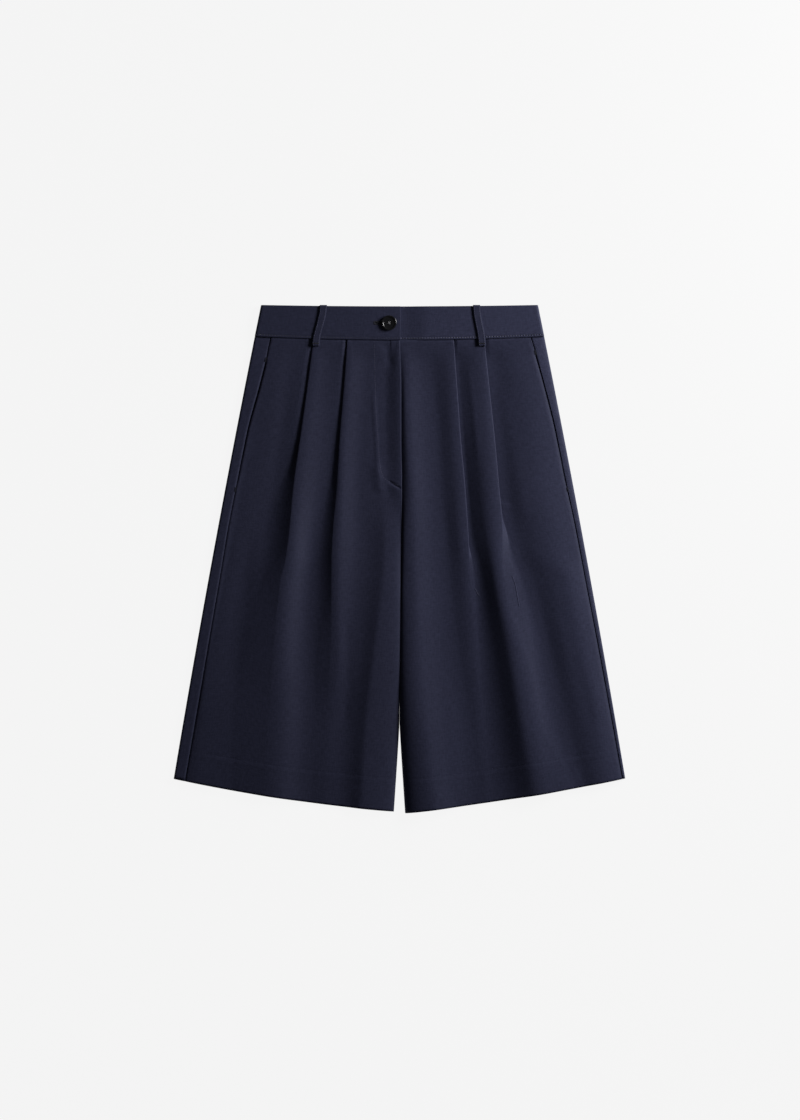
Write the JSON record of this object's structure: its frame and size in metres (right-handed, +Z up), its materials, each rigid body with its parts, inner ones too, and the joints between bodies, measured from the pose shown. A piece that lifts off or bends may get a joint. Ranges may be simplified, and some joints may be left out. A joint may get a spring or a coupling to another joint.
{
  "type": "bermuda shorts",
  "caption": "High-waisted, wide-legged pleated shorts in suiting, buttoned at the waist and laid flat with the front upwards.",
  "frame": {"origin": "on the resting surface, under the middle of the outline", "axes": "+X to the viewer's right (the wearer's left), +Y up to the waistband, +Z up off the surface, out of the front"},
  "size_m": [0.5423, 0.6101, 0.0129],
  "materials": {
    "suiting": "smooth, fine navy suiting with a faint sheen",
    "button": "black, polished"
  },
  "bodies": {
    "root": {"front_right": "suiting", "front_left": "suiting", "back_right": "suiting", "back_left": "suiting", "waistband_right": "suiting", "waistband_left": "suiting", "belt_loop_right": "suiting", "belt_loop_left": "suiting", "waist_button": "button"}
  },
  "joints": []
}
